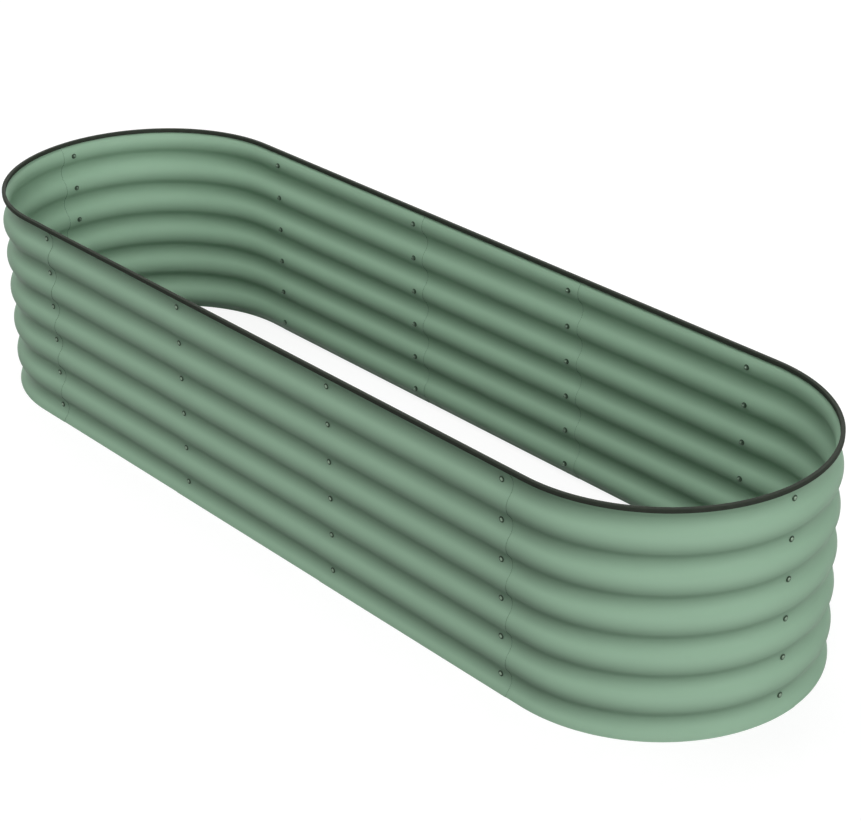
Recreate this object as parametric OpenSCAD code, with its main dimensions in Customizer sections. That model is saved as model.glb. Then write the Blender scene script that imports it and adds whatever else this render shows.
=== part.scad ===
// Raised garden bed: a long bed with round ends, open at the top and the bottom.
// Its wall is ten corrugated steel panels, lapped at ten upright seams and bolted
// in every valley of the corrugation, with a rubber edging pushed over the top edge.
// Millimetres, +Z up, X along the bed. Z = 0 is the ground.

/* [Bed] */
// Height of every wall panel
panel_h = 434; // [370:1:520]
// Bolt line to bolt line of one straight panel
panel_pitch = 446; // [300:1:600]
// Radius of the round ends, to the inside of the valleys
end_r = 294; // [220:1:420]
// Straight stretch of a corner panel, from its bend to its bolt line
corner_tab = 60; // [40:1:120]

/* [Sheet] */
// Thickness of the coated steel sheet, measured level
sheet_t = 0.7; // [0.5:0.05:1]
// Height of one corrugation, valley to valley
wave_h = 75; // [60:1:85]
// Depth of the corrugation, valley to crest
wave_depth = 15.5; // [10:0.5:18]
// Height of the lowest valley above the ground
first_valley_z = 30; // [24:1:36]
// Height of the upright strip along the top edge, which carries the edging
rim_strip_h = 5; // [4:0.5:8]
// Height over which the sheet turns upright below that strip
rim_bend_h = 8; // [6:0.5:12]

/* [Seams] */
// How far a straight panel runs past its bolt line
straight_lap = 25; // [14:1:30]
// How far a corner panel runs past its bolt line on the long side
corner_side_lap = 20; // [14:1:30]
// How far a corner panel runs past its bolt line in the middle of the end
corner_end_lap = 25; // [14:1:30]
// Gap between two lapped sheets
lap_gap = 0.05; // [0.02:0.01:0.1]

/* [Fasteners] */
// Diameter of the bolt's shank
bolt_d = 4; // [3:0.5:5]
// Diameter of the bolt's round head
head_d = 6.2; // [6:0.2:9]
// Height of the bolt's low head
head_h = 1.4; // [1.2:0.1:3]
// Height of the head's upright edge, below the dome
head_edge_h = 0.6; // [0.5:0.1:1]
// Width across the flats of the head's hexagon socket
socket_af = 2; // [1.5:0.1:3]
// Depth of that socket
socket_depth = 0.8; // [0.6:0.1:1.5]
// Diameter of both washers
washer_d = 11; // [10:0.5:13]
// Thickness of the rubber washer under the head
outer_washer_t = 1.2; // [0.8:0.1:2]
// Thickness of the washer under the nut
inner_washer_t = 1; // [0.8:0.1:2]
// Width across the flats of the low cap nut
nut_af = 7; // [7:0.5:10]
// Height of the nut's hexagon
nut_hex_h = 2.4; // [2.2:0.2:5]
// Diameter of the nut's dome
nut_dome_d = 6.5; // [6:0.1:6.8]
// Length of bolt inside the nut
thread_h = 3.6; // [3:0.2:5.5]
// Play of the bolt in the holes of sheets and washers, on the diameter
hole_play = 0.6; // [0.4:0.1:1]
// Play of the bolt in the nut, on the diameter
thread_play = 0.1; // [0.05:0.01:0.2]

/* [Edging] */
// Thickness of the edging's two lips
lip_t = 2.2; // [1.6:0.1:3]
// Thickness of the edging above the sheet
crown_t = 2.2; // [1.6:0.1:3]
// How far the lips reach down the sheet
lip_h = 6; // [5:0.5:9]
// Play of the panels in the edging's slot, on each side
slot_play = 0.3; // [0.2:0.05:0.5]
// Bevel along the edging's two top corners
crown_bevel = 0.9; // [0.5:0.1:1.4]
// Gap where the two ends of the edging meet
butt_gap = 0.6; // [0.4:0.1:1]

/* [Hidden] */
$fn = 72;
// Clearance between faces that rest on each other
seat = 0.02;
// Overrun of every cut
overrun = 4;
// Facets of one corrugation and of the bend at the top
wave_steps = 16;
bend_steps = 4;
// Clearance past the bolt's tip in the nut
tip_gap = 0.5;

// Lap order. Each number is a sheet's place in the stack: a panel laps over a
// neighbour whose number is one lower. From left to right, corners at both ends.
front_stack = [1, 0, 1, 2, 1];
back_stack = [0, -1, 0, 1, 0];
lowest_stack = min(concat(front_stack, back_stack));
highest_stack = max(concat(front_stack, back_stack));

// Stack step, and the middle of the straight run
lap_step = sheet_t + lap_gap;
straight_panels = len(front_stack) - 2;
run_half = straight_panels * panel_pitch / 2;
bend_x = run_half + corner_tab;

// The front stack goes one sheet further out than the back one. The part is moved
// by half of that difference, so that its origin is the middle of its footprint.
centre_y = (max(front_stack) - max(back_stack)) * lap_step / 2;

// The wall's section: how far the sheet stands out from the valleys at a height
rim_z = panel_h - rim_strip_h;
bend_z = rim_z - rim_bend_h;
wave_step = wave_h / wave_steps;
least_facet = wave_step / 3;
rows = floor((bend_z - first_valley_z) / wave_h) + 1;
row_zs = [for (i = [0:rows - 1]) first_valley_z + i * wave_h];

// The corrugation is rolled from equal arcs, which turn in and out by turns
quarter_h = wave_h / 4;
arc_r = (pow(quarter_h, 2) + pow(wave_depth / 2, 2)) / wave_depth;
function arc_rise(u) = arc_r - sqrt(pow(arc_r, 2) - pow(u, 2));
// Height above the nearest valley, from a quarter below it to three quarters above it
function up_from_valley(u) = u - wave_h * floor((u + quarter_h) / wave_h);
function arcs_out(up) =
    up <= quarter_h ? arc_rise(up) : wave_depth - arc_rise(up - 2 * quarter_h);
function wave(u) = arcs_out(up_from_valley(u));
function bent(z) =
    z <= bend_z ? z
    : z <= rim_z ? z - pow(z - bend_z, 2) / (2 * rim_bend_h)
    : rim_z - rim_bend_h / 2;
function wall_out(z) = wave(bent(z) - first_valley_z);

grid_zs = [for (i = [-wave_steps:wave_steps * (rows + 1)]) first_valley_z + i * wave_step];
section_zs = concat(
    [0],
    [for (z = grid_zs) if (z > least_facet && z < bend_z - least_facet) z],
    [for (i = [0:bend_steps]) bend_z + i * rim_bend_h / bend_steps],
    [panel_h]
);
last = len(section_zs) - 1;

// Bolt stack, measured outwards from the inside of the valleys
washer_r = washer_d / 2;
hole_d = bolt_d + hole_play;
// A flat washer bridges the hollow side of the valley
bridge_h = lookup(first_valley_z + washer_r, [for (z = section_zs) [z, wall_out(z)]]);
// and the hollow side of the round end
end_bridge_h = end_r - sqrt(pow(end_r, 2) - pow(washer_r, 2));
outer_washer_at = sheet_t + lap_step + bridge_h + seat;
head_at = outer_washer_at + outer_washer_t + seat;
inner_washer_at = -seat - inner_washer_t;
nut_at = inner_washer_at - seat;
bolt_l = head_at - nut_at + thread_h;
bore_h = thread_h + tip_gap;

// Edging: its slot takes the whole stack of sheets
rim_out = wall_out(panel_h);
stack_t = (highest_stack - lowest_stack) * lap_step + sheet_t;
slot_mid = rim_out + lowest_stack * lap_step + stack_t / 2;
slot_half = stack_t / 2 + slot_play;
edging_half = slot_half + lip_t;
edging_top = panel_h + seat + crown_t;

green = "#8AA88F";
rubber_black = "#2B2C2A";
zinc = "#A9ADA8";
black_zinc = "#3A3D3B";

// Seams: name, place on the plan, turn about Z, stack number of the inner sheet and
// extra clearance of the inner washer
function seam_x(i) = i * panel_pitch - run_half;
front_seams = [for (i = [0:straight_panels])
    [str("front_", i + 1), [seam_x(i), -end_r], -90, min(front_stack[i], front_stack[i + 1]), 0]];
back_seams = [for (i = [0:straight_panels])
    [str("back_", i + 1), [seam_x(i), end_r], 90, min(back_stack[i], back_stack[i + 1]), 0]];
end_seams = [
    ["left_end", [-bend_x - end_r, 0], 180, min(front_stack[0], back_stack[0]), end_bridge_h],
    ["right_end", [bend_x + end_r, 0], 0,
        min(front_stack[straight_panels + 1], back_stack[straight_panels + 1]), end_bridge_h]
];
SEAMS = concat(front_seams, back_seams, end_seams);

// Panels: name, stack number and place
STRAIGHTS = concat(
    [for (i = [1:straight_panels]) [str("front_panel_", i), front_stack[i], seam_x(i - 1), 1]],
    [for (i = [1:straight_panels]) [str("back_panel_", i), back_stack[i], seam_x(i - 1), -1]]
);
CORNERS = [
    ["corner_front_left", front_stack[0], -1, 1],
    ["corner_front_right", front_stack[straight_panels + 1], 1, 1],
    ["corner_back_left", back_stack[0], -1, -1],
    ["corner_back_right", back_stack[straight_panels + 1], 1, -1]
];

// Section of one sheet: x is the distance out from the point at radius r, y is height
module sheet_section(r) {
    polygon(concat(
        [for (i = [0:last]) [r + wall_out(section_zs[i]), section_zs[i]]],
        [for (i = [last:-1:0]) [r + wall_out(section_zs[i]) + sheet_t, section_zs[i]]]
    ));
}

// One hole through a sheet, drilled along +X at every valley, out from the radius r
module valley_drill(r) {
    for (z = row_zs)
        translate([r - overrun, 0, z])
            rotate([0, 90, 0]) cylinder(d = hole_d, h = 2 * overrun + sheet_t);
}

// A straight panel from bolt line to bolt line, with a lap past both of them
module straight_panel(stack, x, side) {
    r = end_r + stack * lap_step;
    color(green) translate([x, centre_y, 0]) scale([1, side, 1])
        difference() {
            translate([panel_pitch + straight_lap, 0, 0]) rotate([90, 0, -90])
                linear_extrude(panel_pitch + 2 * straight_lap) sheet_section(r);
            for (u = [0, panel_pitch])
                translate([u, 0, 0]) rotate([0, 0, -90]) valley_drill(r);
        }
}

// A corner panel: a quarter bend, its straight tab and a lap past both bolt lines.
// Modelled at the front right and mirrored to its own corner.
module corner_panel(stack, side_x, side_y) {
    r = end_r + stack * lap_step;
    lap_angle = corner_end_lap / end_r * 180 / PI;
    color(green) translate([0, centre_y, 0]) scale([side_x, side_y, 1])
        translate([bend_x, 0, 0])
            difference() {
                union() {
                    rotate([0, 0, -90]) rotate_extrude(angle = 90 + lap_angle) sheet_section(r);
                    rotate([90, 0, -90])
                        linear_extrude(corner_tab + corner_side_lap) sheet_section(r);
                }
                translate([-corner_tab, 0, 0]) rotate([0, 0, -90]) valley_drill(r);
                valley_drill(r);
            }
}

// Section of the edging: an upturned channel with bevelled top corners
module edging_section(r) {
    mid = r + slot_mid;
    slot_top = panel_h + seat;
    lip_z = panel_h - lip_h;
    polygon([
        [mid - edging_half, lip_z],
        [mid - slot_half, lip_z],
        [mid - slot_half, slot_top],
        [mid + slot_half, slot_top],
        [mid + slot_half, lip_z],
        [mid + edging_half, lip_z],
        [mid + edging_half, edging_top - crown_bevel],
        [mid + edging_half - crown_bevel, edging_top],
        [mid - edging_half + crown_bevel, edging_top],
        [mid - edging_half, edging_top - crown_bevel]
    ]);
}

// The edging runs once round the rim, and its ends meet in the middle of the back
module rim_edging() {
    color(rubber_black) translate([0, centre_y, 0])
        difference() {
            union() {
                for (side = [-1, 1])
                    scale([side, 1, 1]) translate([bend_x, 0, 0])
                        rotate([0, 0, -90]) rotate_extrude(angle = 180) edging_section(end_r);
                for (side = [-1, 1])
                    scale([1, side, 1]) translate([bend_x, 0, 0]) rotate([90, 0, -90])
                        linear_extrude(2 * bend_x) edging_section(end_r);
            }
            translate([-butt_gap / 2, end_r, panel_h - lip_h - overrun])
                cube([butt_gap, rim_out + stack_t + edging_half + overrun,
                      lip_h + crown_t + 2 * overrun]);
        }
}

// Places its children at every bolt of a seam, with +Z pointing out of the bed
module at_bolts(seam) {
    for (z = row_zs)
        translate([seam[1][0], seam[1][1] + centre_y, z])
            rotate([0, 0, seam[2]]) rotate([0, 90, 0])
                translate([0, 0, seam[3] * lap_step]) children();
}

// Low-headed bolt: slightly domed head with a hexagon socket
module bolts(seam) {
    dome_h = head_h - head_edge_h;
    dome_r = (pow(dome_h, 2) + pow(head_d / 2, 2)) / (2 * dome_h);
    color(zinc) at_bolts(seam) translate([0, 0, head_at]) {
        difference() {
            union() {
                intersection() {
                    cylinder(d = head_d, h = head_h);
                    translate([0, 0, head_h - dome_r]) sphere(r = dome_r);
                }
                translate([0, 0, -bolt_l]) cylinder(d = bolt_d, h = bolt_l + head_edge_h);
            }
            translate([0, 0, head_h - socket_depth])
                cylinder(d = socket_af / cos(30), h = socket_depth + overrun, $fn = 6);
        }
    }
}

// Flat ring with the bolt's clearance hole
module washer(t) {
    difference() {
        cylinder(d = washer_d, h = t);
        translate([0, 0, -overrun]) cylinder(d = hole_d, h = t + 2 * overrun);
    }
}

module outer_washers(seam) {
    color(rubber_black) at_bolts(seam)
        translate([0, 0, outer_washer_at]) washer(outer_washer_t);
}

module inner_washers(seam) {
    color(rubber_black) at_bolts(seam)
        translate([0, 0, inner_washer_at - seam[4]]) washer(inner_washer_t);
}

// Low cap nut: a thin hexagon with a domed, closed end
module cap_nuts(seam) {
    color(black_zinc) at_bolts(seam) translate([0, 0, nut_at - seam[4]])
        rotate([180, 0, 0])
            difference() {
                union() {
                    cylinder(d = nut_af / cos(30), h = nut_hex_h, $fn = 6);
                    translate([0, 0, nut_hex_h]) sphere(d = nut_dome_d);
                }
                translate([0, 0, -overrun])
                    cylinder(d = bolt_d + thread_play, h = bore_h + overrun);
            }
}

for (p = STRAIGHTS)
    straight_panel(p[1], p[2], p[3]);
for (p = CORNERS)
    corner_panel(p[1], p[2], p[3]);
rim_edging();
for (s = SEAMS) {
    bolts(s);
    outer_washers(s);
    inner_washers(s);
    cap_nuts(s);
}
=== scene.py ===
"""A raised garden bed of corrugated steel panels, lapped, bolted and edged with rubber.

It builds the finished pieces of the bed around the fixed frame, then its floor, lights and camera.
"""

import math

import bmesh
import bpy
from mathutils import Matrix, Quaternion, Vector


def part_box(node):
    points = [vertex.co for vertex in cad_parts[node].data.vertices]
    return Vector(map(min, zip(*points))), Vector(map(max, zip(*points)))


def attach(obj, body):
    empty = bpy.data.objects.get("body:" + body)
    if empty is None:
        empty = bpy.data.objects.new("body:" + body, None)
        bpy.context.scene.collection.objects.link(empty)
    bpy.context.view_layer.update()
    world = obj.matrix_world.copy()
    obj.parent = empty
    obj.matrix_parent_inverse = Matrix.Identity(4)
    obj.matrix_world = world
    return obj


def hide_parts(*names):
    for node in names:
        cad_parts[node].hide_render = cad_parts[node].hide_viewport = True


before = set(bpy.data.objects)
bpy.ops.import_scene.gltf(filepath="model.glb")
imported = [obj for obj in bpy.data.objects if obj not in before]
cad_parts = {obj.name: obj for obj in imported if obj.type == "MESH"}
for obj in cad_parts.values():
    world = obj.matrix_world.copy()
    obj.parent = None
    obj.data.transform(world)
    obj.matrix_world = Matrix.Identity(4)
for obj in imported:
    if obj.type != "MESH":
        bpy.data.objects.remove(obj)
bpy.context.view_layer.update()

# The edging is centred on the bed's middle, which lies just off the origin
MIDDLE_Y = (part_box("rim_edging")[0].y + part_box("rim_edging")[1].y) / 2
BED_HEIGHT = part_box("front_panel_1")[1].z

bl_info = {
    "name": "Corrugated garden bed",
    "version": (1, 0, 0),
    "blender": (4, 5, 0),
    "location": "View3D > Sidebar > Garden Bed",
    "description": "Builds a raised garden bed of corrugated panels with bolted seams and a rubber edging",
    "category": "Object",
}

MM = 0.001
# Corners this near to a place count as lying at it
AT = 0.01 * MM
# Corners nearer to each other than this are made one
TOUCHING = 0.001 * MM
# The lowest corners of a sheet, which stand on the ground, are below this height
GROUND_EDGE = 0.5 * MM

# A spin about the upright axis by this sign of angle runs anticlockwise, seen from above
SPIN_LEFT = -1

DRILL_LENGTH = 12 * MM
DRILL_SIDES = 20
# The lines cut beside a bolt line run this far inside the washers' edges, where they don't show
WASHER_COVER = 0.4 * MM
# Each bolt and nut is turned this much further than the one before it, in radians
TIGHTENING_TURN = 2.4

FLOOR_SIZE = 24
# Name, direction round the bed, height above the ground and apparent width of each lamp, in degrees
LAMPS = (
    ("overhead", 0, 90, 100),
    ("high_right", 49, 55, 40),
    ("right", 90, 5, 30),
    ("left", -60, 45, 40),
    ("low", 49, 10, 30),
    ("behind", -131, 45, 60),
    ("back", -140, 12, 40),
)

# Seams of the bed and the way out of the bed at each
SEAM_WAYS = {
    **{f"front_{i}": (0, -1) for i in range(1, 5)},
    **{f"back_{i}": (0, 1) for i in range(1, 5)},
    "left_end": (-1, 0),
    "right_end": (1, 0),
}
STRAIGHT_PANELS = [f"{side}_panel_{i}" for side in ("front", "back") for i in (1, 2, 3)]


def linear(hex_colour):
    """An sRGB hex colour as linear red, green and blue."""
    parts = [int(hex_colour[i:i + 2], 16) / 255 for i in (1, 3, 5)]
    return tuple(p / 12.92 if p <= 0.04045 else ((p + 0.055) / 1.055) ** 2.4 for p in parts)


# Sizes and colours that a user may change


class BedSizes(bpy.types.PropertyGroup):
    """Sizes of the corrugated sheet."""

    corrugation_pitch: bpy.props.FloatProperty(
        name="Corrugation pitch", description="Height of one corrugation, valley to valley",
        default=75 * MM, min=0, unit="LENGTH")
    corrugation_depth: bpy.props.FloatProperty(
        name="Corrugation depth", description="Depth of the corrugation, valley to crest",
        default=15.5 * MM, min=0, unit="LENGTH")
    first_valley: bpy.props.FloatProperty(
        name="First valley", description="Height of the lowest valley above the ground",
        default=30 * MM, min=0, unit="LENGTH")
    rim_strip: bpy.props.FloatProperty(
        name="Rim strip", description="Height of the upright strip along the top edge",
        default=5 * MM, min=0, unit="LENGTH")
    rim_bend: bpy.props.FloatProperty(
        name="Rim bend", description="Height over which the sheet turns upright below that strip",
        default=8 * MM, min=0, unit="LENGTH")
    sheet_room: bpy.props.FloatProperty(
        name="Sheet room", description="Level thickness that the frame keeps for one sheet",
        default=0.7 * MM, min=0, unit="LENGTH")
    sheet_thickness: bpy.props.FloatProperty(
        name="Sheet thickness", description="Thickness of the coated steel, square to its face",
        default=0.5 * MM, min=0, unit="LENGTH")
    corner_tab: bpy.props.FloatProperty(
        name="Corner tab", description="Straight stretch of a corner panel, from bend to bolt line",
        default=60 * MM, min=0, unit="LENGTH")
    sheet_rows: bpy.props.IntProperty(
        name="Sheet rows", description="Faces of a sheet from its bottom edge to its top edge",
        default=174, min=40)
    bend_steps: bpy.props.IntProperty(
        name="Bend steps", description="Faces round the bend of a corner panel",
        default=36, min=8)
    bolt_hole: bpy.props.FloatProperty(
        name="Bolt hole", description="Diameter of the bolt holes in the sheets",
        default=4.6 * MM, min=0, unit="LENGTH")


class FastenerSizes(bpy.types.PropertyGroup):
    """Sizes of the bolts, washers and cap nuts."""

    bolt: bpy.props.FloatProperty(
        name="Bolt", description="Diameter of the bolt's shank", default=4 * MM, min=0, unit="LENGTH")
    head: bpy.props.FloatProperty(
        name="Head", description="Diameter of the bolt's round head",
        default=6.2 * MM, min=0, unit="LENGTH")
    head_height: bpy.props.FloatProperty(
        name="Head height", description="Height of the bolt's low head",
        default=1.4 * MM, min=0, unit="LENGTH")
    head_side: bpy.props.FloatProperty(
        name="Head side", description="Height of the head's upright side below its dome",
        default=0.6 * MM, min=0, unit="LENGTH")
    socket: bpy.props.FloatProperty(
        name="Socket", description="Width across the flats of the head's hexagon socket",
        default=2 * MM, min=0, unit="LENGTH")
    socket_depth: bpy.props.FloatProperty(
        name="Socket depth", description="Depth of the head's socket",
        default=0.8 * MM, min=0, unit="LENGTH")
    washer: bpy.props.FloatProperty(
        name="Washer", description="Diameter of both rubber washers",
        default=11 * MM, min=0, unit="LENGTH")
    washer_hole: bpy.props.FloatProperty(
        name="Washer hole", description="Diameter of the hole in the washers",
        default=4.5 * MM, min=0, unit="LENGTH")
    washer_round: bpy.props.FloatProperty(
        name="Washer rounding", description="Radius of the washers' edges",
        default=0.35 * MM, min=0, unit="LENGTH")
    nut: bpy.props.FloatProperty(
        name="Nut", description="Width across the flats of the cap nut",
        default=7 * MM, min=0, unit="LENGTH")
    nut_height: bpy.props.FloatProperty(
        name="Nut height", description="Height of the cap nut's hexagon",
        default=2.4 * MM, min=0, unit="LENGTH")
    nut_bore: bpy.props.FloatProperty(
        name="Nut bore", description="Depth of the cap nut's bore",
        default=4.1 * MM, min=0, unit="LENGTH")
    nut_dome: bpy.props.FloatProperty(
        name="Nut dome", description="Diameter of the cap nut's dome",
        default=6.5 * MM, min=0, unit="LENGTH")


class EdgingSizes(bpy.types.PropertyGroup):
    """Sizes of the rubber edging."""

    lip: bpy.props.FloatProperty(
        name="Lip", description="Thickness of each lip", default=2.2 * MM, min=0, unit="LENGTH")
    crown: bpy.props.FloatProperty(
        name="Crown", description="Thickness of the edging above the sheet",
        default=2.2 * MM, min=0, unit="LENGTH")
    slot: bpy.props.FloatProperty(
        name="Slot", description="Width of the slot between the lips",
        default=3.55 * MM, min=0, unit="LENGTH")
    crown_round: bpy.props.FloatProperty(
        name="Crown rounding", description="Radius of the edging's two top corners",
        default=1.7 * MM, min=0, unit="LENGTH")
    lip_round: bpy.props.FloatProperty(
        name="Lip rounding", description="Radius of the lips' lower outer corners",
        default=0.8 * MM, min=0, unit="LENGTH")
    butt_gap: bpy.props.FloatProperty(
        name="Butt gap", description="Gap where the two ends of the edging meet",
        default=0.6 * MM, min=0, unit="LENGTH")
    round_steps: bpy.props.IntProperty(
        name="Round steps", description="Faces round each half circle of the edging",
        default=72, min=16)


class FinishColours(bpy.types.PropertyGroup):
    """Colours of the finishes."""

    coat: bpy.props.FloatVectorProperty(
        name="Coat", description="Sage green coat of the sheets", subtype="COLOR", size=3,
        default=linear("#95B59C"), min=0, max=1)
    # Painted shade: the cut edges are coloured dark to stand for the shadow line along each lap
    cut_edge: bpy.props.FloatVectorProperty(
        name="Cut edge", description="Weathered steel along the sheets' cut edges",
        subtype="COLOR", size=3, default=linear("#222924"), min=0, max=1)
    edging: bpy.props.FloatVectorProperty(
        name="Edging", description="Black rubber of the edging", subtype="COLOR", size=3,
        default=linear("#363B34"), min=0, max=1)
    washer: bpy.props.FloatVectorProperty(
        name="Washer", description="Black rubber of the washers", subtype="COLOR", size=3,
        default=linear("#3F5041"), min=0, max=1)
    zinc: bpy.props.FloatVectorProperty(
        name="Zinc", description="Green-passivated zinc of the bolts", subtype="COLOR", size=3,
        default=linear("#8C9F8D"), min=0, max=1)
    black_zinc: bpy.props.FloatVectorProperty(
        name="Nut zinc", description="Dark passivated zinc of the cap nuts", subtype="COLOR", size=3,
        default=linear("#5C6D5F"), min=0, max=1)
    floor: bpy.props.FloatVectorProperty(
        name="Floor", description="Pale floor", subtype="COLOR", size=3, default=linear("#FFFFFF"),
        min=0, max=1)


class StudioSettings(bpy.types.PropertyGroup):
    """Camera and light of the studio."""

    focal_length: bpy.props.FloatProperty(
        name="Focal length", description="Camera lens in millimetres", default=91.3, min=1)
    azimuth: bpy.props.FloatProperty(
        name="Azimuth", description="Camera direction round the bed, from its front",
        default=math.radians(48.8), subtype="ANGLE")
    elevation: bpy.props.FloatProperty(
        name="Elevation", description="Camera direction above the ground",
        default=math.radians(27.58), subtype="ANGLE")
    roll: bpy.props.FloatProperty(
        name="Roll", description="Turn of the camera about its own axis", default=math.radians(-0.70),
        subtype="ANGLE")
    distance: bpy.props.FloatProperty(
        name="Distance", description="Camera distance from the bed's origin along its axis",
        default=4.3075, min=0, unit="LENGTH")
    aside: bpy.props.FloatProperty(
        name="Aside", description="How far the camera stands to the right of the bed's origin",
        default=0.1024, unit="LENGTH")
    above: bpy.props.FloatProperty(
        name="Above", description="How far the camera stands above the bed's origin in the picture",
        default=0.1477, unit="LENGTH")
    sky: bpy.props.FloatProperty(
        name="Sky", description="Strength of the even light from all round", default=0.01, min=0)
    overhead: bpy.props.FloatProperty(
        name="Overhead", description="Strength of the very wide lamp straight above",
        default=0.54, min=0)
    high_right: bpy.props.FloatProperty(
        name="High right", description="Strength of the high lamp on the camera's side",
        default=1.27, min=0)
    right: bpy.props.FloatProperty(
        name="Right", description="Strength of the lamp at the right end", default=1.38, min=0)
    left: bpy.props.FloatProperty(
        name="Left", description="Strength of the lamp in front on the left", default=0.66, min=0)
    low: bpy.props.FloatProperty(
        name="Low", description="Strength of the low lamp by the camera", default=0.62, min=0)
    behind: bpy.props.FloatProperty(
        name="Behind", description="Strength of the lamp behind the bed", default=0.72, min=0)
    back: bpy.props.FloatProperty(
        name="Back", description="Strength of the low lamp that lights the bed's back",
        default=1.3, min=0)
    floor_glow: bpy.props.FloatProperty(
        name="Floor glow", description="Strength of the floor's own white, which keeps its shadow soft",
        default=0.8, min=0)


class GardenBedSettings(bpy.types.PropertyGroup):
    """All the settings of the bed."""

    bed: bpy.props.PointerProperty(type=BedSizes)
    fasteners: bpy.props.PointerProperty(type=FastenerSizes)
    edging: bpy.props.PointerProperty(type=EdgingSizes)
    colours: bpy.props.PointerProperty(type=FinishColours)
    studio: bpy.props.PointerProperty(type=StudioSettings)


def settings():
    """The settings of this bed, as the scene keeps them."""
    return bpy.context.scene.garden_bed


# Help with objects and meshes


def only(*objects):
    """Selects these objects and nothing else, with the first one active."""
    if bpy.context.object and bpy.context.object.mode != "OBJECT":
        bpy.ops.object.mode_set(mode="OBJECT")
    bpy.ops.object.select_all(action="DESELECT")
    for thing in objects:
        thing.select_set(True)
    bpy.context.view_layer.objects.active = objects[0]


def fresh(name):
    """Names the object that an operator has just added."""
    thing = bpy.context.object
    thing.name = name
    thing.data.name = name
    return thing


def place(thing, location=(0, 0, 0), rotation=None, scale=(1, 1, 1)):
    """Moves an object and applies its place to its mesh."""
    turn = rotation.to_matrix().to_4x4() if rotation else Matrix()
    move = Matrix.Translation(location) @ turn @ Matrix.Diagonal((*scale, 1))
    thing.matrix_world = move @ thing.matrix_world
    only(thing)
    bpy.ops.object.transform_apply(location=True, rotation=True, scale=True)
    return thing


def twin(thing, name):
    """A copy of an object, with a mesh of its own."""
    only(thing)
    bpy.ops.object.duplicate(linked=False)
    return fresh(name)


def joined(parts, name):
    """Several objects made one."""
    only(*parts)
    if len(parts) > 1:
        bpy.ops.object.join()
    return fresh(name)


def pick(thing, test, kind="VERT"):
    """In edit mode, selects the corners, edges or faces that pass the test, and nothing else."""
    only(thing)
    bpy.ops.object.mode_set(mode="EDIT")
    bpy.ops.mesh.select_mode(type=kind)
    bpy.ops.mesh.select_all(action="DESELECT")
    shape = bmesh.from_edit_mesh(thing.data)
    chosen = {"VERT": shape.verts, "EDGE": shape.edges, "FACE": shape.faces}[kind]
    for element in chosen:
        if test(element):
            element.select_set(True)
    shape.select_flush_mode()
    bmesh.update_edit_mesh(thing.data)


def done(thing):
    """Leaves edit mode."""
    bpy.ops.object.mode_set(mode="OBJECT")
    return thing


def modify(thing, kind, **values):
    """Adds a modifier with its values and applies it."""
    only(thing)
    modifier = thing.modifiers.new(kind.lower(), kind)
    for key, value in values.items():
        setattr(modifier, key, value)
    bpy.ops.object.modifier_apply(modifier=modifier.name)
    return thing


def cut(thing, tool, operation="DIFFERENCE"):
    """Cuts a thing with a tool, which is then gone."""
    modify(thing, "BOOLEAN", operation=operation, solver="EXACT", object=tool)
    bpy.data.objects.remove(tool)
    return thing


def face_out(thing):
    """Turns the faces of a closed mesh outwards where a mirrored copy has turned them in."""
    shape = bmesh.new()
    shape.from_mesh(thing.data)
    inside_out = shape.calc_volume(signed=True) < 0
    shape.free()
    if inside_out:
        pick(thing, lambda face: True, "FACE")
        bpy.ops.mesh.flip_normals()
        done(thing)
    return thing


def recalculate(thing):
    """Turns all the faces of a closed mesh outwards."""
    pick(thing, lambda v: True)
    bpy.ops.mesh.normals_make_consistent(inside=False)
    done(thing)
    return face_out(thing)


def smooth(thing, degrees=35):
    """Smooth shading with sharp edges kept."""
    only(thing)
    bpy.ops.object.shade_smooth_by_angle(angle=math.radians(degrees), keep_sharp_edges=False)
    return thing


def hand_over(thing, node, material):
    """Finishes a piece that stands for one node of the frame."""
    thing.data.materials.clear()
    thing.data.materials.append(material)
    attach(thing, "root")
    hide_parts(node)
    return thing


# Finishes


def add(tree, kind, inputs=None, **values):
    """Adds a node with its values. An input is a value, or the socket of another node."""
    node = tree.nodes.new(kind)
    for key, value in values.items():
        setattr(node, key, value)
    for key, value in (inputs or {}).items():
        if isinstance(value, bpy.types.NodeSocket):
            tree.links.new(value, node.inputs[key])
        else:
            node.inputs[key].default_value = value
    return node


def new_finish(name):
    """An empty material, or None and the material itself if it is there already."""
    if name in bpy.data.materials:
        return None, bpy.data.materials[name]
    material = bpy.data.materials.new(name)
    material.use_nodes = True
    material.node_tree.nodes.clear()
    return material.node_tree, material


def rgba(colour, share=1.0):
    """A colour made lighter or darker by a share, with its alpha."""
    return (*[min(1.0, c * share) for c in colour], 1.0)


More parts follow.
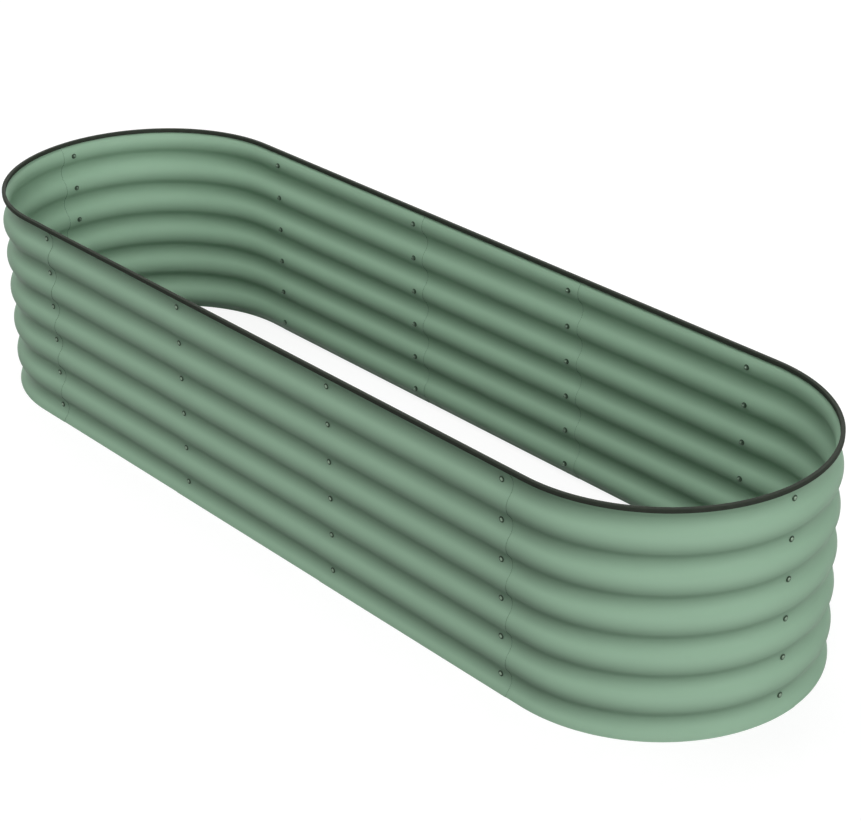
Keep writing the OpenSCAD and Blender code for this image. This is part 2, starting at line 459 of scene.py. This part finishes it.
def coated_steel():
    """Polyester coat on galvanised steel, rolled: an even satin colour with a faint orange peel."""
    tree, material = new_finish("sage_coated_steel")
    if tree is None:
        return material
    colours = settings().colours
    place_in = add(tree, "ShaderNodeTexCoord").outputs["Object"]
    # The coat drifts a little in colour over a hand's width, about 120 mm
    drift = add(tree, "ShaderNodeTexNoise", {"Vector": place_in, "Scale": 1 / (120 * MM), "Detail": 3.0})
    coat = add(tree, "ShaderNodeMix", {
        "Factor": drift.outputs["Fac"], "A": rgba(colours.coat, 0.965), "B": rgba(colours.coat, 1.03)},
        data_type="RGBA")
    # Cut edges are bare of the coat, and are coloured dark as painted shade for the shadow line along each
    # lap
    edge = add(tree, "ShaderNodeAttribute", attribute_name="cut_edge").outputs["Fac"]
    colour = add(tree, "ShaderNodeMix", {
        "Factor": edge, "A": coat.outputs["Result"], "B": rgba(colours.cut_edge)}, data_type="RGBA")
    # Satin, with cloudy patches about 30 mm wide where the coat lies smoother
    cloud = add(tree, "ShaderNodeTexNoise", {"Vector": place_in, "Scale": 1 / (30 * MM), "Detail": 2.0})
    rough = add(tree, "ShaderNodeMapRange", {
        "Value": cloud.outputs["Fac"], "From Min": 0.3, "From Max": 0.7, "To Min": 0.46, "To Max": 0.56})
    # Orange peel is about 1.5 mm across, drawn at 4 mm because the picture can't show less
    peel = add(tree, "ShaderNodeTexNoise", {"Vector": place_in, "Scale": 1 / (4 * MM), "Detail": 1.0})
    bump = add(tree, "ShaderNodeBump", {
        "Strength": 0.12, "Distance": 0.05 * MM, "Height": peel.outputs["Fac"]})
    shader = add(tree, "ShaderNodeBsdfPrincipled", {
        "Base Color": colour.outputs["Result"], "Roughness": rough.outputs["Result"],
        "Normal": bump.outputs["Normal"], "IOR": 1.5, "Specular IOR Level": 0.1})
    add(tree, "ShaderNodeOutputMaterial", {"Surface": shader.outputs["BSDF"]})
    return material


def black_rubber(name, colour, grain, gloss):
    """EPDM rubber, extruded or pressed: matt near-black with a fine grain and a trace of bloom.

    The grain is its size, and the gloss is how much of the room it mirrors.
    """
    tree, material = new_finish(name)
    if tree is None:
        return material
    place_in = add(tree, "ShaderNodeTexCoord").outputs["Object"]
    # Bloom greys the rubber in soft patches about 15 mm wide
    bloom = add(tree, "ShaderNodeTexNoise", {"Vector": place_in, "Scale": 1 / (15 * MM), "Detail": 4.0})
    body = add(tree, "ShaderNodeMix", {
        "Factor": bloom.outputs["Fac"], "A": rgba(colour, 0.8), "B": rgba(colour, 1.25)}, data_type="RGBA")
    rough = add(tree, "ShaderNodeMapRange", {
        "Value": bloom.outputs["Fac"], "From Min": 0.3, "From Max": 0.7, "To Min": 0.6, "To Max": 0.74})
    skin = add(tree, "ShaderNodeTexNoise", {"Vector": place_in, "Scale": 1 / grain, "Detail": 2.0})
    bump = add(tree, "ShaderNodeBump", {
        "Strength": 0.25, "Distance": 0.08 * MM, "Height": skin.outputs["Fac"]})
    shader = add(tree, "ShaderNodeBsdfPrincipled", {
        "Base Color": body.outputs["Result"], "Roughness": rough.outputs["Result"],
        "Normal": bump.outputs["Normal"], "IOR": 1.5, "Specular IOR Level": gloss})
    add(tree, "ShaderNodeOutputMaterial", {"Surface": shader.outputs["BSDF"]})
    return material


def plated_steel(name, colour, roughness):
    """Passivated zinc plating on turned steel: a dull, slightly green metal with a cloudy bloom."""
    tree, material = new_finish(name)
    if tree is None:
        return material
    place_in = add(tree, "ShaderNodeTexCoord").outputs["Object"]
    # The plating's bloom comes in specks about 1 mm across
    speck = add(tree, "ShaderNodeTexNoise", {"Vector": place_in, "Scale": 1 / (1 * MM), "Detail": 3.0})
    body = add(tree, "ShaderNodeMix", {
        "Factor": speck.outputs["Fac"], "A": rgba(colour, 0.85), "B": rgba(colour, 1.12)}, data_type="RGBA")
    rough = add(tree, "ShaderNodeMapRange", {
        "Value": speck.outputs["Fac"], "From Min": 0.3, "From Max": 0.7,
        "To Min": roughness - 0.05, "To Max": roughness + 0.07})
    bump = add(tree, "ShaderNodeBump", {
        "Strength": 0.1, "Distance": 0.02 * MM, "Height": speck.outputs["Fac"]})
    shader = add(tree, "ShaderNodeBsdfPrincipled", {
        "Base Color": body.outputs["Result"], "Roughness": rough.outputs["Result"],
        "Normal": bump.outputs["Normal"], "Metallic": 1.0})
    add(tree, "ShaderNodeOutputMaterial", {"Surface": shader.outputs["BSDF"]})
    return material


def rubber_edging_finish():
    """Extruded and powdered, so it is dead matt and its crown looks no lighter than its sides."""
    return black_rubber("extruded_rubber", settings().colours.edging, 1.2 * MM, 0.03)


def rubber_washer_finish():
    """Pressed in a polished mould, so it shines a little."""
    return black_rubber("pressed_rubber", settings().colours.washer, 0.8 * MM, 0.2)


def zinc_finish():
    """Bolts: light and satin."""
    return plated_steel("zinc_plated_steel", settings().colours.zinc, 0.32)


def black_zinc_finish():
    """Cap nuts: darker than the bolts, and a little smoother."""
    return plated_steel("black_zinc_steel", settings().colours.black_zinc, 0.3)


# Corrugated sheets


def sheet_out(z):
    """How far the sheet stands out from its valleys at a height. Equal arcs turn in and out."""
    bed = settings().bed
    rim = BED_HEIGHT - bed.rim_strip
    bend = rim - bed.rim_bend
    if z > rim:
        z = rim - bed.rim_bend / 2
    elif z > bend:
        z -= (z - bend) ** 2 / (2 * bed.rim_bend)
    quarter = bed.corrugation_pitch / 4
    half_depth = bed.corrugation_depth / 2
    arc_radius = (quarter ** 2 + half_depth ** 2) / (2 * half_depth)
    up = (z - bed.first_valley + quarter) % bed.corrugation_pitch - quarter
    if up <= quarter:
        return arc_radius - math.sqrt(arc_radius ** 2 - up ** 2)
    return bed.corrugation_depth - arc_radius + math.sqrt(arc_radius ** 2 - (up - 2 * quarter) ** 2)


def section_line(name, x, radius):
    """The sheet's section as an upright line of edges, waved towards -Y, at a place along the bed."""
    bed = settings().bed
    height = BED_HEIGHT
    bpy.ops.object.select_all(action="DESELECT")
    bpy.ops.mesh.primitive_grid_add(
        x_subdivisions=1, y_subdivisions=bed.sheet_rows, size=1, rotation=(math.pi / 2, 0, 0))
    line = place(fresh(name), scale=(height, height, height))
    pick(line, lambda v: v.co.x > 0)
    bpy.ops.mesh.delete(type="VERT")
    done(line)
    place(line, location=(x + height / 2, MIDDLE_Y - radius - bed.sheet_room / 2, height / 2))
    # The corrugation is a vertex group, which a Displace modifier pushes out
    wave = line.vertex_groups.new(name="corrugation")
    for v in line.data.vertices:
        wave.add([v.index], sheet_out(v.co.z) / bed.corrugation_depth, "REPLACE")
    modify(line, "DISPLACE", direction="Y", vertex_group="corrugation", mid_level=0,
           strength=-bed.corrugation_depth)
    line.vertex_groups.clear()
    return line


def pull(thing, from_x, length):
    """Extrudes the corners at a place along the bed by a length."""
    pick(thing, lambda v: abs(v.co.x - from_x) < AT)
    bpy.ops.mesh.extrude_region_move(TRANSFORM_OT_translate={"value": (length, 0, 0)})
    return done(thing)


def slit(thing, point, normal):
    """Cuts a line of corners across a sheet."""
    pick(thing, lambda v: True)
    bpy.ops.mesh.bisect(plane_co=point, plane_no=normal)
    return done(thing)


def thicken(sheet):
    """Gives a sheet its thickness, and marks the faces of its cut edges, which the coat paints dark as
    shade.
    """
    bed = settings().bed
    sheet.data.materials.append(None)
    sheet.data.materials.append(None)
    modify(sheet, "SOLIDIFY", thickness=bed.sheet_thickness, offset=0, use_even_offset=True,
           use_quality_normals=True, material_offset_rim=1)
    marks = [float(face.material_index) for face in sheet.data.polygons]
    edge = sheet.data.attributes.new("cut_edge", "FLOAT", "FACE")
    edge.data.foreach_set("value", marks)
    sheet.data.polygons.foreach_set("material_index", [0] * len(marks))
    # The bottom edge is cut level, so that the sheet stands on the ground
    pick(sheet, lambda v: v.co.z < GROUND_EDGE)
    bpy.ops.transform.resize(value=(1, 1, 0), center_override=(0, 0, 0))
    done(sheet)
    return face_out(sheet)


def row_heights():
    """Heights of the bolts of a seam, one in each valley."""
    bed = settings().bed
    low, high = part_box("bolts_front_1")
    rows = round((high.z - low.z) / bed.corrugation_pitch)
    return [bed.first_valley + row * bed.corrugation_pitch for row in range(rows + 1)]


def drill(points, way):
    """A tool of drills through these points, along the way out of the bed."""
    bits = []
    for point in points:
        bpy.ops.object.select_all(action="DESELECT")
        bpy.ops.mesh.primitive_cylinder_add(
            vertices=DRILL_SIDES, radius=settings().bed.bolt_hole / 2, depth=DRILL_LENGTH,
            location=point, rotation=Vector((*way, 0)).to_track_quat("Z", "Y").to_euler())
        bits.append(fresh("drill"))
    only(*bits)
    bpy.ops.object.transform_apply(location=True, rotation=True, scale=True)
    return joined(bits, "drill")


def valley_radius(node):
    """Distance from the bed's middle to the inside of a front or back panel's valleys."""
    low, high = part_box(node)
    outside = max(abs(low.y - MIDDLE_Y), abs(high.y - MIDDLE_Y))
    bed = settings().bed
    return outside - bed.corrugation_depth - bed.sheet_room


def slit_seam(sheet, x):
    """Cuts lines on both sides of a bolt line, so that the holes' faces stay under the washers."""
    margin = settings().fasteners.washer / 2 - WASHER_COVER
    for side in (-margin, margin):
        slit(sheet, (x + side, 0, 0), (1, 0, 0))


class GARDENBED_OT_straight_panels(bpy.types.Operator):
    """Models one straight panel and copies it to the six places along both sides"""

    bl_idname = "garden_bed.straight_panels"
    bl_label = "Straight panels"

    def execute(self, context):
        first = STRAIGHT_PANELS[0]
        low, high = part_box(first)
        radius = valley_radius(first)
        seams = [sum(corner.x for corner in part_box(f"bolts_front_{i}")) / 2 for i in (1, 2)]
        sheet = section_line("straight_sheet", low.x, radius)
        pull(sheet, low.x, high.x - low.x)
        for x in seams:
            slit_seam(sheet, x)
        thicken(sheet)
        points = [(x, MIDDLE_Y - radius, z) for x in seams for z in row_heights()]
        cut(sheet, drill(points, (0, 1)))
        smooth(sheet)
        for node in STRAIGHT_PANELS:
            back = node.startswith("back")
            panel = twin(sheet, node + "_sheet")
            if back:
                place(panel, location=(0, 2 * MIDDLE_Y, 0), scale=(1, -1, 1))
            side = 1 if back else -1
            shift = (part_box(node)[0].x - low.x, side * (valley_radius(node) - radius), 0)
            place(panel, location=shift)
            face_out(panel)
            hand_over(panel, node, coated_steel())
        bpy.data.objects.remove(sheet)
        return {"FINISHED"}


class GARDENBED_OT_corner_panels(bpy.types.Operator):
    """Models a round panel for the front and one for the back, and mirrors each to the other end"""

    bl_idname = "garden_bed.corner_panels"
    bl_label = "Corner panels"

    def execute(self, context):
        bed = settings().bed
        low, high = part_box("bolts_front_4")
        side_seam = (low.x + high.x) / 2
        bend = side_seam + bed.corner_tab
        for side in ("front", "back"):
            node = f"corner_{side}_right"
            low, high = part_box(node)
            radius = valley_radius(node)
            # The lap past the middle of the end is measured along the valleys
            past = high.y - MIDDLE_Y if side == "front" else MIDDLE_Y - low.y
            out = radius + bed.corrugation_depth + bed.sheet_room
            turn = math.pi / 2 + math.asin(past / out)
            sheet = section_line("corner_sheet", low.x, radius)
            pull(sheet, low.x, bend - low.x)
            slit_seam(sheet, side_seam)
            pick(sheet, lambda v: abs(v.co.x - bend) < AT)
            bpy.ops.mesh.spin(
                steps=bed.bend_steps, angle=SPIN_LEFT * turn,
                center=(bend, MIDDLE_Y, 0), axis=(0, 0, 1))
            bpy.ops.mesh.select_all(action="SELECT")
            bpy.ops.mesh.remove_doubles(threshold=TOUCHING)
            bpy.ops.mesh.normals_make_consistent(inside=False)
            done(sheet)
            thicken(sheet)
            side_points = [(side_seam, MIDDLE_Y - radius, z) for z in row_heights()]
            end_points = [(bend + radius, MIDDLE_Y, z) for z in row_heights()]
            cut(sheet, drill(side_points, (0, 1)))
            cut(sheet, drill(end_points, (1, 0)))
            smooth(sheet)
            if side == "back":
                place(sheet, location=(0, 2 * MIDDLE_Y, 0), scale=(1, -1, 1))
            for end, mirror in (("right", 1), ("left", -1)):
                node = f"corner_{side}_{end}"
                panel = place(twin(sheet, node + "_sheet"), scale=(mirror, 1, 1))
                face_out(panel)
                hand_over(panel, node, coated_steel())
            bpy.data.objects.remove(sheet)
        return {"FINISHED"}


class GARDENBED_OT_rim_edging(bpy.types.Operator):
    """Draws the edging's section as a loop of edges and pulls it once round the rim"""

    bl_idname = "garden_bed.rim_edging"
    bl_label = "Rim edging"

    def execute(self, context):
        edging = settings().edging
        low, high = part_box("rim_edging")
        outside = high.y - MIDDLE_Y
        bend = high.x - outside
        strip = self.section(-edging.butt_gap / 2, low.z, MIDDLE_Y + outside, high.z)
        # Along the back to the left, round the left end, along the front, round the right end and home
        self.run(strip, "back", -edging.butt_gap / 2, -bend)
        self.turn(strip, "back", -bend)
        self.run(strip, "front", -bend, bend)
        self.turn(strip, "front", bend)
        self.run(strip, "back", bend, edging.butt_gap / 2)
        for end in (-1, 1):
            at = end * edging.butt_gap / 2
            pick(strip, lambda v: v.co.y > MIDDLE_Y and abs(v.co.x - at) < AT)
            bpy.ops.mesh.edge_face_add()
            done(strip)
        recalculate(strip)
        smooth(strip)
        hand_over(strip, "rim_edging", rubber_edging_finish())
        return {"FINISHED"}

    def section(self, x, low_z, out_y, high_z):
        """The edging's section at its butt: a crown with two lips below it, as a loop of edges."""
        edging = settings().edging
        width = 2 * edging.lip + edging.slot
        bpy.ops.object.select_all(action="DESELECT")
        bpy.ops.mesh.primitive_plane_add(size=1, rotation=(0, math.pi / 2, 0))
        strip = place(fresh("rim_edging_strip"), scale=(1, width, edging.crown))
        place(strip, location=(x, out_y - width / 2, high_z - edging.crown / 2))
        slit(strip, (x, out_y - edging.lip, 0), (0, 1, 0))
        slit(strip, (x, out_y - edging.lip - edging.slot, 0), (0, 1, 0))
        under = high_z - edging.crown

        def lip_edge(edge):
            a, b = (v.co for v in edge.verts)
            level = max(a.z, b.z) < under + AT
            return level and abs(abs(a.y - b.y) - edging.lip) < AT

        pick(strip, lip_edge, "EDGE")
        bpy.ops.mesh.extrude_region_move(TRANSFORM_OT_translate={"value": (0, 0, low_z - under)})
        bpy.ops.mesh.select_all(action="SELECT")
        bpy.ops.mesh.dissolve_faces()
        bpy.ops.mesh.dissolve_limited(angle_limit=math.radians(2))
        done(strip)
        outer_sides = (out_y, out_y - width)
        self.round_off(strip, lambda v: v.co.z > high_z - AT, edging.crown_round, 6)
        self.round_off(strip, lambda v: v.co.z < low_z + AT
                       and min(abs(v.co.y - y) for y in outer_sides) < AT, edging.lip_round, 4)
        self.round_off(strip, lambda v: v.co.z < low_z + AT
                       and abs(v.co.y - out_y + width / 2) < edging.slot / 2 + AT,
                       edging.lip_round / 2, 3)
        pick(strip, lambda v: True)
        bpy.ops.mesh.delete(type="ONLY_FACE")
        return done(strip)

    def round_off(self, strip, test, radius, segments):
        """Rounds the corners of the section that pass the test."""
        pick(strip, test)
        bpy.ops.mesh.bevel(offset=radius, segments=segments, affect="VERTICES")
        done(strip)

    def end_of(self, side, x):
        """The test for the open end of the strip on one side of the bed, at a place along it."""
        front = side == "front"
        return lambda v: (v.co.y < MIDDLE_Y) == front and abs(v.co.x - x) < AT

    def run(self, strip, side, from_x, to_x):
        """Pulls the open end straight along a side."""
        pick(strip, self.end_of(side, from_x))
        bpy.ops.mesh.extrude_region_move(TRANSFORM_OT_translate={"value": (to_x - from_x, 0, 0)})
        done(strip)

    def turn(self, strip, side, x):
        """Spins the open end half round, anticlockwise seen from above."""
        pick(strip, self.end_of(side, x))
        bpy.ops.mesh.spin(steps=settings().edging.round_steps, angle=SPIN_LEFT * math.pi,
                          center=(x, MIDDLE_Y, 0), axis=(0, 0, 1))
        done(strip)


# Bolts, washers and cap nuts


def turned(name, outline, sides=32, closed=False):
    """A piece turned about +Z, drawn ring by ring from radii and heights.

    A closed outline ends where it starts, as a washer's does. An open one has a flat face at each end.
    """
    radius, height = outline[0]
    bpy.ops.object.select_all(action="DESELECT")
    bpy.ops.mesh.primitive_circle_add(vertices=sides, radius=radius, location=(0, 0, height))
    piece = place(fresh(name))
    pick(piece, lambda v: True)
    for r, z in outline[1:]:
        bpy.ops.mesh.extrude_region_move(TRANSFORM_OT_translate={"value": (0, 0, z - height)})
        bpy.ops.transform.resize(value=(r / radius, r / radius, 1), center_override=(0, 0, z))
        radius, height = r, z
    done(piece)
    if closed:
        pick(piece, lambda v: True)
        bpy.ops.mesh.remove_doubles(threshold=TOUCHING)
        done(piece)
    else:
        for r, z in (outline[0], outline[-1]):
            pick(piece, lambda v: abs(v.co.z - z) < TOUCHING and abs(v.co.xy.length - r) < TOUCHING)
            bpy.ops.mesh.edge_face_add()
            done(piece)
    return recalculate(piece)


def arc(centre, radius, start, end, steps):
    """Points of radius and height along an arc, between two angles above the level, in degrees."""
    angles = [math.radians(start + (end - start) * i / steps) for i in range(steps + 1)]
    return [(centre[0] + radius * math.cos(a), centre[1] + radius * math.sin(a)) for a in angles]


def depth_of(node):
    """How deep a seam's row of fasteners is along its bolts, from the frame."""
    low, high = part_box(node)
    return high.y - low.y


def set_at_seams(model, kind, finish):
    """Copies a model, drawn along +Z with its outer face at the origin, to every bolt of every seam."""
    for seam, way in SEAM_WAYS.items():
        node = f"{kind}_{seam}"
        low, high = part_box(node)
        out = Vector((*way, 0))
        point = (low + high) / 2
        point += out * (max(low.dot(out), high.dot(out)) - point.dot(out))
        copies = []
        for i, z in enumerate(row_heights()):
            # No two are tightened to the same angle
            tightened = Quaternion((0, 0, 1), TIGHTENING_TURN * (i + len(seam)))
            turn = out.to_track_quat("Z", "Y") @ tightened
            copies.append(place(twin(model, f"{kind}_copy"), (point.x, point.y, z), turn))
        hand_over(joined(copies, f"{node}_set"), node, finish)
    bpy.data.objects.remove(model)


class GARDENBED_OT_bolts(bpy.types.Operator):
    """Models one bolt with a domed head and a hexagon socket, and copies it to every bolt hole"""

    bl_idname = "garden_bed.bolts"
    bl_label = "Bolts"

    def execute(self, context):
        sizes = settings().fasteners
        head = sizes.head / 2
        shank = sizes.bolt / 2
        length = depth_of("bolts_front_1")
        dome = sizes.head_height - sizes.head_side
        # The dome is part of a ball that meets the head's side and its own flat top
        ball = (head ** 2 + dome ** 2) / (2 * dome)
        rise = math.degrees(math.acos((ball - dome) / ball))
        top = arc((0, -ball), ball, 90 - rise, 76, 8)
        level = -top[-1][1]
        top = [(r, z + level) for r, z in top]
        edge = 0.15 * MM
        outline = [
            (shank - 0.3 * MM, -length), (shank, -length + 0.3 * MM), (shank, -sizes.head_height),
            (head - edge, -sizes.head_height), (head, -sizes.head_height + edge), *top]
        bolt = turned("bolt", outline)
        bpy.ops.object.select_all(action="DESELECT")
        bpy.ops.mesh.primitive_cylinder_add(
            vertices=6, radius=sizes.socket / math.sqrt(3), depth=2 * sizes.socket_depth)
        cut(bolt, fresh("socket"))
        smooth(bolt)
        set_at_seams(bolt, "bolts", zinc_finish())
        return {"FINISHED"}


class GARDENBED_OT_washers(bpy.types.Operator):
    """Models the outer and the inner rubber washer and copies them to every bolt"""

    bl_idname = "garden_bed.washers"
    bl_label = "Rubber washers"

    def execute(self, context):
        sizes = settings().fasteners
        for kind in ("outer_washers", "inner_washers"):
            thick = depth_of(f"{kind}_front_1")
            rim = sizes.washer / 2 - sizes.washer_round
            hole = sizes.washer_hole / 2
            outline = [
                (hole, 0), *arc((rim, -sizes.washer_round), sizes.washer_round, 90, 0, 4),
                *arc((rim, sizes.washer_round - thick), sizes.washer_round, 0, -90, 4),
                (hole, -thick), (hole, 0)]
            washer = smooth(turned("washer", outline, 40, closed=True))
            set_at_seams(washer, kind, rubber_washer_finish())
        return {"FINISHED"}


class GARDENBED_OT_cap_nuts(bpy.types.Operator):
    """Models one cap nut, a hexagon with a dome, and copies it to every bolt"""

    bl_idname = "garden_bed.cap_nuts"
    bl_label = "Cap nuts"

    def execute(self, context):
        sizes = settings().fasteners
        corner = sizes.nut / math.sqrt(3)
        chamfer = 0.35 * MM
        tall = sizes.nut_height
        nut = turned("cap_nut", [
            (corner - chamfer, 0), (corner, -chamfer),
            (corner, chamfer - tall), (corner - 1.5 * chamfer, -tall)], 6)
        dome = sizes.nut_dome / 2
        depth = depth_of("cap_nuts_front_1") - tall
        ball = (dome ** 2 + depth ** 2) / (2 * depth)
        rise = math.degrees(math.asin(dome / ball))
        # The dome starts inside the hexagon, and its arc stops short of the pole, which a flat closes
        round_end = [(r, z - tall - depth + ball) for r, z in arc((0, 0), ball, rise - 90, -86, 8)]
        cap = turned("dome", [(dome, -tall + 1 * MM), *round_end])
        cut(nut, cap, "UNION")
        bpy.ops.object.select_all(action="DESELECT")
        bpy.ops.mesh.primitive_cylinder_add(
            vertices=24, radius=sizes.bolt / 2 + 0.05 * MM, depth=2 * sizes.nut_bore)
        cut(nut, fresh("thread"))
        smooth(nut)
        set_at_seams(nut, "cap_nuts", black_zinc_finish())
        return {"FINISHED"}


# Floor, light and camera


def seen_directly(tree):
    """1 for rays of the camera and for reflections and refractions, 0 for the light of the room."""
    path = add(tree, "ShaderNodeLightPath")
    mirror = add(tree, "ShaderNodeMath", {
        0: path.outputs["Is Camera Ray"], 1: path.outputs["Is Glossy Ray"]}, operation="MAXIMUM")
    return add(tree, "ShaderNodeMath", {0: mirror.outputs[0], 1: path.outputs["Is Transmission Ray"]},
               operation="MAXIMUM").outputs[0]


def studio_floor():
    """White paper floor: it looks white, keeps a soft shadow and throws little light back up."""
    tree, material = new_finish("white_paper_floor")
    if tree is None:
        return material
    colour = rgba(settings().colours.floor)
    # Paper fibre clumps, drawn at 40 mm because the picture shows nothing finer of the floor
    fibre = add(tree, "ShaderNodeTexNoise", {
        "Vector": add(tree, "ShaderNodeTexCoord").outputs["Object"], "Scale": 1 / (40 * MM), "Detail": 2.0})
    shade = add(tree, "ShaderNodeMapRange", {
        "Value": fibre.outputs["Fac"], "To Min": 0.26, "To Max": 0.28})
    paper = add(tree, "ShaderNodeBsdfDiffuse", {"Color": shade.outputs["Result"]})
    glow = add(tree, "ShaderNodeEmission", {"Color": colour, "Strength": settings().studio.floor_glow})
    lit = add(tree, "ShaderNodeAddShader", {0: paper.outputs["BSDF"], 1: glow.outputs["Emission"]})
    # To the light of the room the floor is nearly black, so that it throws little back up
    dull = add(tree, "ShaderNodeBsdfDiffuse", {"Color": rgba(settings().colours.floor, 0.02)})
    both = add(tree, "ShaderNodeMixShader", {
        0: seen_directly(tree), 1: dull.outputs["BSDF"], 2: lit.outputs[0]})
    add(tree, "ShaderNodeOutputMaterial", {"Surface": both.outputs["Shader"]})
    return material


def way_to(azimuth, elevation):
    """The direction from the bed to a lamp or the camera. Azimuth 0 is the bed's front."""
    return Vector((
        math.sin(azimuth) * math.cos(elevation), -math.cos(azimuth) * math.cos(elevation),
        math.sin(elevation)))


class GARDENBED_OT_stage(bpy.types.Operator):
    """Adds the floor, the light and the camera"""

    bl_idname = "garden_bed.stage"
    bl_label = "Studio"

    def execute(self, context):
        context.scene.view_settings.view_transform = "Standard"
        self.floor()
        self.light()
        self.camera()
        return {"FINISHED"}

    def floor(self):
        bpy.ops.object.select_all(action="DESELECT")
        bpy.ops.mesh.primitive_grid_add(x_subdivisions=8, y_subdivisions=8, size=FLOOR_SIZE)
        floor = fresh("floor")
        floor.data.materials.append(studio_floor())

    def light(self):
        studio = settings().studio
        world = bpy.data.worlds.new("studio_world")
        bpy.context.scene.world = world
        world.use_nodes = True
        tree = world.node_tree
        tree.nodes.clear()
        room = add(tree, "ShaderNodeBackground", {"Color": (1, 1, 1, 1), "Strength": studio.sky})
        white = add(tree, "ShaderNodeBackground", {"Color": (1, 1, 1, 1), "Strength": 1.0})
        both = add(tree, "ShaderNodeMixShader", {
            0: seen_directly(tree), 1: room.outputs["Background"], 2: white.outputs["Background"]})
        add(tree, "ShaderNodeOutputWorld", {"Surface": both.outputs["Shader"]})
        for name, *angles in LAMPS:
            self.lamp(name, getattr(studio, name), *[math.radians(angle) for angle in angles])

    def lamp(self, name, strength, azimuth, elevation, width):
        """A far, wide soft lamp that shines on the bed from one direction."""
        away = way_to(azimuth, elevation)
        bpy.ops.object.select_all(action="DESELECT")
        bpy.ops.object.light_add(
            type="SUN", location=away * 3, rotation=away.to_track_quat("Z", "Y").to_euler())
        lamp = bpy.context.object
        lamp.name = name
        lamp.data.energy = strength
        lamp.data.angle = width

    def camera(self):
        studio = settings().studio
        back = way_to(studio.azimuth, studio.elevation)
        right = Vector((math.cos(studio.azimuth), math.sin(studio.azimuth), 0))
        up = back.cross(right)
        right, up = (
            math.cos(studio.roll) * right + math.sin(studio.roll) * up,
            math.cos(studio.roll) * up - math.sin(studio.roll) * right)
        turn = Matrix((right, up, back)).transposed()
        bpy.ops.object.camera_add()
        camera = bpy.context.object
        camera.matrix_world = (
            Matrix.Translation(studio.aside * right + studio.above * up + studio.distance * back)
            @ turn.to_4x4())
        camera.data.lens = studio.focal_length
        bpy.context.scene.camera = camera


# Panel of the sidebar


OPERATORS = [
    GARDENBED_OT_straight_panels,
    GARDENBED_OT_corner_panels,
    GARDENBED_OT_rim_edging,
    GARDENBED_OT_bolts,
    GARDENBED_OT_washers,
    GARDENBED_OT_cap_nuts,
    GARDENBED_OT_stage,
]


class GARDENBED_PT_panel(bpy.types.Panel):
    """Lists the bed's sizes and colours, and the operators that build it"""

    bl_idname = "GARDENBED_PT_panel"
    bl_label = "Garden Bed"
    bl_space_type = "VIEW_3D"
    bl_region_type = "UI"
    bl_category = "Garden Bed"

    def draw(self, context):
        for group in ("bed", "fasteners", "edging", "colours", "studio"):
            box = self.layout.box()
            values = getattr(context.scene.garden_bed, group)
            for name in values.bl_rna.properties.keys():
                if name not in ("rna_type", "name"):
                    box.prop(values, name)
        for operator in OPERATORS:
            self.layout.operator(operator.bl_idname)


CLASSES = [
    BedSizes,
    FastenerSizes,
    EdgingSizes,
    FinishColours,
    StudioSettings,
    GardenBedSettings,
    *OPERATORS,
    GARDENBED_PT_panel,
]


def register():
    for cls in CLASSES:
        bpy.utils.register_class(cls)
    bpy.types.Scene.garden_bed = bpy.props.PointerProperty(type=GardenBedSettings)


def unregister():
    del bpy.types.Scene.garden_bed
    for cls in reversed(CLASSES):
        bpy.utils.unregister_class(cls)


def main():
    register()
    bpy.ops.garden_bed.straight_panels()
    bpy.ops.garden_bed.corner_panels()
    bpy.ops.garden_bed.rim_edging()
    bpy.ops.garden_bed.bolts()
    bpy.ops.garden_bed.washers()
    bpy.ops.garden_bed.cap_nuts()
    bpy.ops.garden_bed.stage()


if __name__ == "__main__":
    main()
